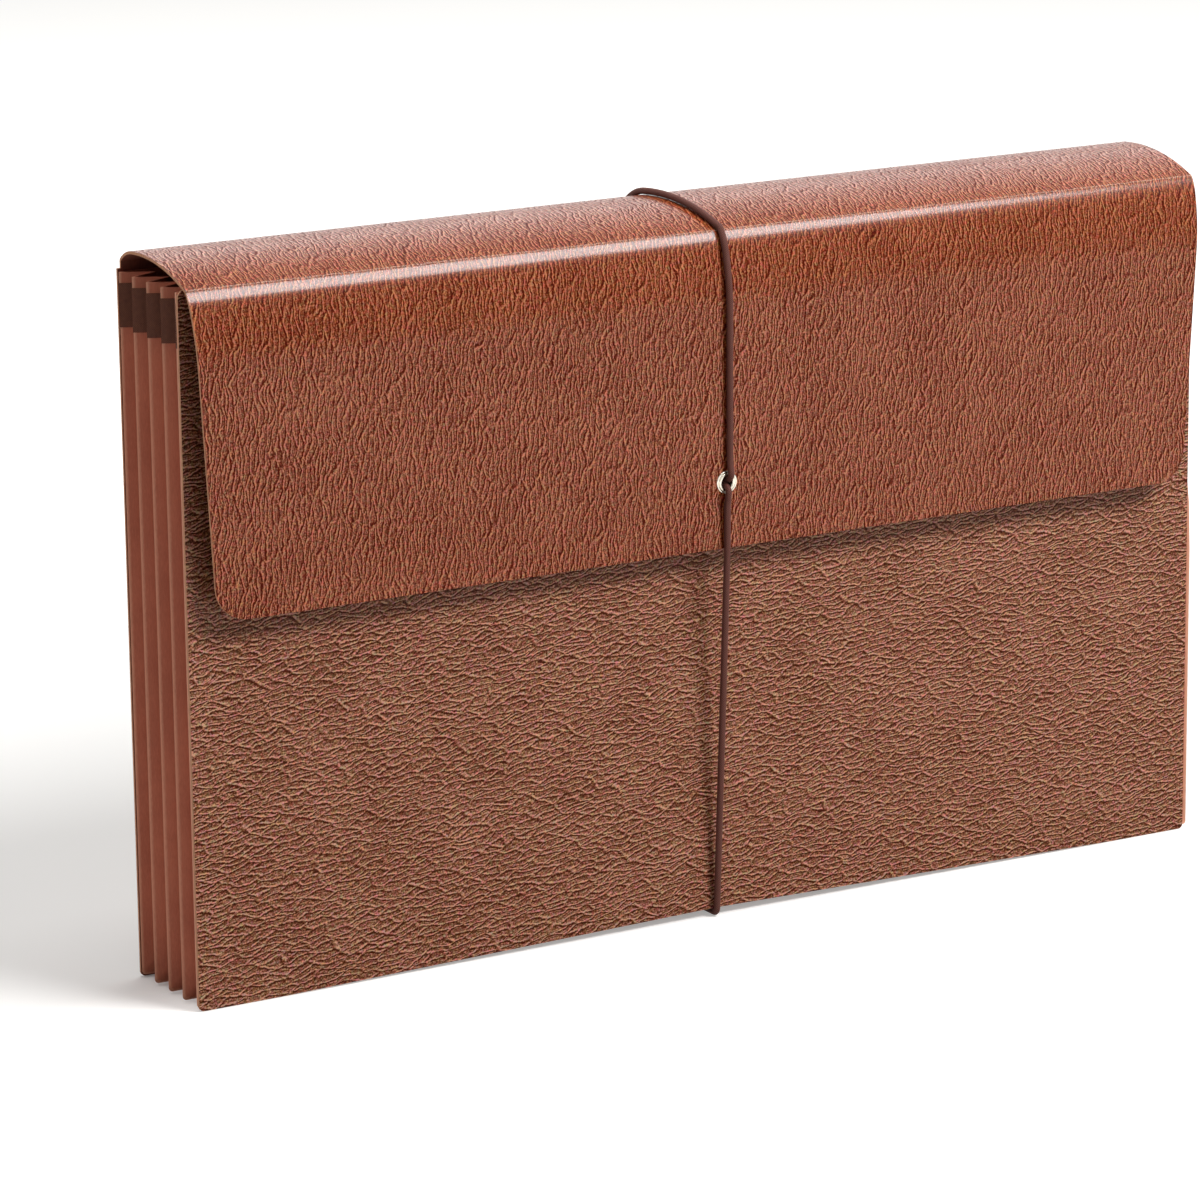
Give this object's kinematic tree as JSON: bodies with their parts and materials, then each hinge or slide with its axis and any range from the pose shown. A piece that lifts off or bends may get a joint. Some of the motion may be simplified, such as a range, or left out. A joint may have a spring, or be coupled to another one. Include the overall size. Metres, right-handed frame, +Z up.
{
  "type": "file wallet",
  "caption": "Expanding file wallet with leather-look boards, a pleated paper gusset, a fold-over flap, a metal eyelet and an elastic cord round it.",
  "frame": {"origin": "middle of the wallet's outer box, on the surface that it stands on", "axes": "+X along the width, to the right of someone facing the flap; +Y from front to back; +Z up"},
  "size_m": [0.381, 0.0573, 0.2402],
  "materials": {
    "panel_board": "varnished board with a dark leather grain print",
    "flap_board": "varnished board with a lighter leather grain print",
    "gusset_paper": "matt red-brown folding paper",
    "tape": "dark woven reinforcing tape",
    "cord": "braided elastic cord",
    "metal": "polished nickel plate"
  },
  "bodies": {
    "back": {"back_panel": "panel_board", "back_glue_strip": "gusset_paper", "cord_back_strand": "cord", "cord_lower_strand": "cord"},
    "front": {"front_panel": "panel_board", "front_glue_strip": "gusset_paper"},
    "flap_roof": {"flap_top": "flap_board", "cord_top_strand": "cord"},
    "flap_face": {"flap_front": "flap_board", "eyelet": "metal", "cord_flap_strand": "cord", "cord_knot": "cord"},
    "left_face_1": {"left_pleat_1": "gusset_paper", "left_tape_1": "tape"},
    "left_face_2": {"left_pleat_2": "gusset_paper", "left_tape_2": "tape"},
    "left_face_3": {"left_pleat_3": "gusset_paper", "left_tape_3": "tape"},
    "left_face_4": {"left_pleat_4": "gusset_paper", "left_tape_4": "tape"},
    "left_face_5": {"left_pleat_5": "gusset_paper", "left_tape_5": "tape"},
    "left_face_6": {"left_pleat_6": "gusset_paper", "left_tape_6": "tape"},
    "left_face_7": {"left_pleat_7": "gusset_paper", "left_tape_7": "tape"},
    "left_face_8": {"left_pleat_8": "gusset_paper", "left_tape_8": "tape"},
    "right_face_1": {"right_pleat_1": "gusset_paper", "right_tape_1": "tape"},
    "right_face_2": {"right_pleat_2": "gusset_paper", "right_tape_2": "tape"},
    "right_face_3": {"right_pleat_3": "gusset_paper", "right_tape_3": "tape"},
    "right_face_4": {"right_pleat_4": "gusset_paper", "right_tape_4": "tape"},
    "right_face_5": {"right_pleat_5": "gusset_paper", "right_tape_5": "tape"},
    "right_face_6": {"right_pleat_6": "gusset_paper", "right_tape_6": "tape"},
    "right_face_7": {"right_pleat_7": "gusset_paper", "right_tape_7": "tape"},
    "right_face_8": {"right_pleat_8": "gusset_paper", "right_tape_8": "tape"},
    "bottom_face_1": {"bottom_pleat_1": "gusset_paper"},
    "bottom_face_2": {"bottom_pleat_2": "gusset_paper"},
    "bottom_face_3": {"bottom_pleat_3": "gusset_paper"},
    "bottom_face_4": {"bottom_pleat_4": "gusset_paper"},
    "bottom_face_5": {"bottom_pleat_5": "gusset_paper"},
    "bottom_face_6": {"bottom_pleat_6": "gusset_paper"},
    "bottom_face_7": {"bottom_pleat_7": "gusset_paper"},
    "bottom_face_8": {"bottom_pleat_8": "gusset_paper"}
  },
  "joints": [
    {"name": "gusset_fold", "type": "slide", "parent": "back", "child": "front", "axis": [0, 1, 0], "range_m": [0, 0.03346], "deforming": ["cord_lower_strand"]},
    {"name": "flap_open", "type": "hinge", "parent": "back", "child": "flap_roof", "pos_m": [0, 0.02608, 0.23372], "axis": [-1, 0, 0], "range_deg": [0, 178], "deforming": ["cord_flap_strand", "cord_top_strand", "cord_back_strand", "cord_lower_strand"]},
    {"name": "flap_crease", "type": "hinge", "parent": "flap_roof", "child": "flap_face", "pos_m": [0, -0.02197, 0.23014], "axis": [-1, 0, 0], "range_deg": [0, 70.1], "deforming": ["cord_flap_strand", "cord_top_strand", "cord_back_strand", "cord_lower_strand"]},
    {"name": "left_fold_1", "type": "hinge", "parent": "back", "child": "left_face_1", "pos_m": [-0.1898, 0.02458, 0.1166], "axis": [0, 0, 1], "range_deg": [0, 22.55]},
    {"name": "left_fold_2", "type": "hinge", "parent": "left_face_1", "child": "left_face_2", "pos_m": [-0.17986, 0.0196, 0.1166], "axis": [0, 0, -1], "range_deg": [0, 45.05]},
    {"name": "left_fold_3", "type": "hinge", "parent": "left_face_2", "child": "left_face_3", "pos_m": [-0.1898, 0.01463, 0.1166], "axis": [0, 0, 1], "range_deg": [0, 45.05]},
    {"name": "left_fold_4", "type": "hinge", "parent": "left_face_3", "child": "left_face_4", "pos_m": [-0.17986, 0.00965, 0.1166], "axis": [0, 0, -1], "range_deg": [0, 45.05]},
    {"name": "left_fold_8", "type": "hinge", "parent": "front", "child": "left_face_8", "pos_m": [-0.1898, -0.01598, 0.1166], "axis": [0, 0, -1], "range_deg": [0, 22.55]},
    {"name": "left_fold_7", "type": "hinge", "parent": "left_face_8", "child": "left_face_7", "pos_m": [-0.17986, -0.011, 0.1166], "axis": [0, 0, 1], "range_deg": [0, 45.05]},
    {"name": "left_fold_6", "type": "hinge", "parent": "left_face_7", "child": "left_face_6", "pos_m": [-0.1898, -0.00603, 0.1166], "axis": [0, 0, -1], "range_deg": [0, 45.05]},
    {"name": "left_fold_5", "type": "hinge", "parent": "left_face_6", "child": "left_face_5", "pos_m": [-0.17986, -0.00105, 0.1166], "axis": [0, 0, 1], "range_deg": [0, 45.05]},
    {"name": "right_fold_1", "type": "hinge", "parent": "back", "child": "right_face_1", "pos_m": [0.1898, 0.02458, 0.1166], "axis": [0, 0, -1], "range_deg": [0, 22.55]},
    {"name": "right_fold_2", "type": "hinge", "parent": "right_face_1", "child": "right_face_2", "pos_m": [0.17986, 0.0196, 0.1166], "axis": [0, 0, 1], "range_deg": [0, 45.05]},
    {"name": "right_fold_3", "type": "hinge", "parent": "right_face_2", "child": "right_face_3", "pos_m": [0.1898, 0.01463, 0.1166], "axis": [0, 0, -1], "range_deg": [0, 45.05]},
    {"name": "right_fold_4", "type": "hinge", "parent": "right_face_3", "child": "right_face_4", "pos_m": [0.17986, 0.00965, 0.1166], "axis": [0, 0, 1], "range_deg": [0, 45.05]},
    {"name": "right_fold_8", "type": "hinge", "parent": "front", "child": "right_face_8", "pos_m": [0.1898, -0.01598, 0.1166], "axis": [0, 0, 1], "range_deg": [0, 22.55]},
    {"name": "right_fold_7", "type": "hinge", "parent": "right_face_8", "child": "right_face_7", "pos_m": [0.17986, -0.011, 0.1166], "axis": [0, 0, -1], "range_deg": [0, 45.05]},
    {"name": "right_fold_6", "type": "hinge", "parent": "right_face_7", "child": "right_face_6", "pos_m": [0.1898, -0.00603, 0.1166], "axis": [0, 0, 1], "range_deg": [0, 45.05]},
    {"name": "right_fold_5", "type": "hinge", "parent": "right_face_6", "child": "right_face_5", "pos_m": [0.17986, -0.00105, 0.1166], "axis": [0, 0, -1], "range_deg": [0, 45.05]},
    {"name": "bottom_fold_1", "type": "hinge", "parent": "back", "child": "bottom_face_1", "pos_m": [0, 0.02458, 0.0032], "axis": [-1, 0, 0], "range_deg": [0, 22.55]},
    {"name": "bottom_fold_2", "type": "hinge", "parent": "bottom_face_1", "child": "bottom_face_2", "pos_m": [0, 0.0196, 0.01314], "axis": [1, 0, 0], "range_deg": [0, 45.05]},
    {"name": "bottom_fold_3", "type": "hinge", "parent": "bottom_face_2", "child": "bottom_face_3", "pos_m": [0, 0.01463, 0.0032], "axis": [-1, 0, 0], "range_deg": [0, 45.05]},
    {"name": "bottom_fold_4", "type": "hinge", "parent": "bottom_face_3", "child": "bottom_face_4", "pos_m": [0, 0.00965, 0.01314], "axis": [1, 0, 0], "range_deg": [0, 45.05]},
    {"name": "bottom_fold_8", "type": "hinge", "parent": "front", "child": "bottom_face_8", "pos_m": [0, -0.01598, 0.0032], "axis": [1, 0, 0], "range_deg": [0, 22.55]},
    {"name": "bottom_fold_7", "type": "hinge", "parent": "bottom_face_8", "child": "bottom_face_7", "pos_m": [0, -0.011, 0.01314], "axis": [-1, 0, 0], "range_deg": [0, 45.05]},
    {"name": "bottom_fold_6", "type": "hinge", "parent": "bottom_face_7", "child": "bottom_face_6", "pos_m": [0, -0.00603, 0.0032], "axis": [1, 0, 0], "range_deg": [0, 45.05]},
    {"name": "bottom_fold_5", "type": "hinge", "parent": "bottom_face_6", "child": "bottom_face_5", "pos_m": [0, -0.00105, 0.01314], "axis": [-1, 0, 0], "range_deg": [0, 45.05]}
  ],
  "couplings": [
    {"joint": "flap_crease", "follows": "flap_open", "ratio": 0.39326},
    {"joint": "left_fold_1", "follows": "gusset_fold", "rad_per_m": 11.736},
    {"joint": "left_fold_2", "follows": "gusset_fold", "rad_per_m": 23.472},
    {"joint": "left_fold_3", "follows": "gusset_fold", "rad_per_m": 23.472},
    {"joint": "left_fold_4", "follows": "gusset_fold", "rad_per_m": 23.472},
    {"joint": "left_fold_8", "follows": "gusset_fold", "rad_per_m": 11.736},
    {"joint": "left_fold_7", "follows": "gusset_fold", "rad_per_m": 23.472},
    {"joint": "left_fold_6", "follows": "gusset_fold", "rad_per_m": 23.472},
    {"joint": "left_fold_5", "follows": "gusset_fold", "rad_per_m": 23.472},
    {"joint": "right_fold_1", "follows": "gusset_fold", "rad_per_m": 11.736},
    {"joint": "right_fold_2", "follows": "gusset_fold", "rad_per_m": 23.472},
    {"joint": "right_fold_3", "follows": "gusset_fold", "rad_per_m": 23.472},
    {"joint": "right_fold_4", "follows": "gusset_fold", "rad_per_m": 23.472},
    {"joint": "right_fold_8", "follows": "gusset_fold", "rad_per_m": 11.736},
    {"joint": "right_fold_7", "follows": "gusset_fold", "rad_per_m": 23.472},
    {"joint": "right_fold_6", "follows": "gusset_fold", "rad_per_m": 23.472},
    {"joint": "right_fold_5", "follows": "gusset_fold", "rad_per_m": 23.472},
    {"joint": "bottom_fold_1", "follows": "gusset_fold", "rad_per_m": 11.736},
    {"joint": "bottom_fold_2", "follows": "gusset_fold", "rad_per_m": 23.472},
    {"joint": "bottom_fold_3", "follows": "gusset_fold", "rad_per_m": 23.472},
    {"joint": "bottom_fold_4", "follows": "gusset_fold", "rad_per_m": 23.472},
    {"joint": "bottom_fold_8", "follows": "gusset_fold", "rad_per_m": 11.736},
    {"joint": "bottom_fold_7", "follows": "gusset_fold", "rad_per_m": 23.472},
    {"joint": "bottom_fold_6", "follows": "gusset_fold", "rad_per_m": 23.472},
    {"joint": "bottom_fold_5", "follows": "gusset_fold", "rad_per_m": 23.472}
  ]
}
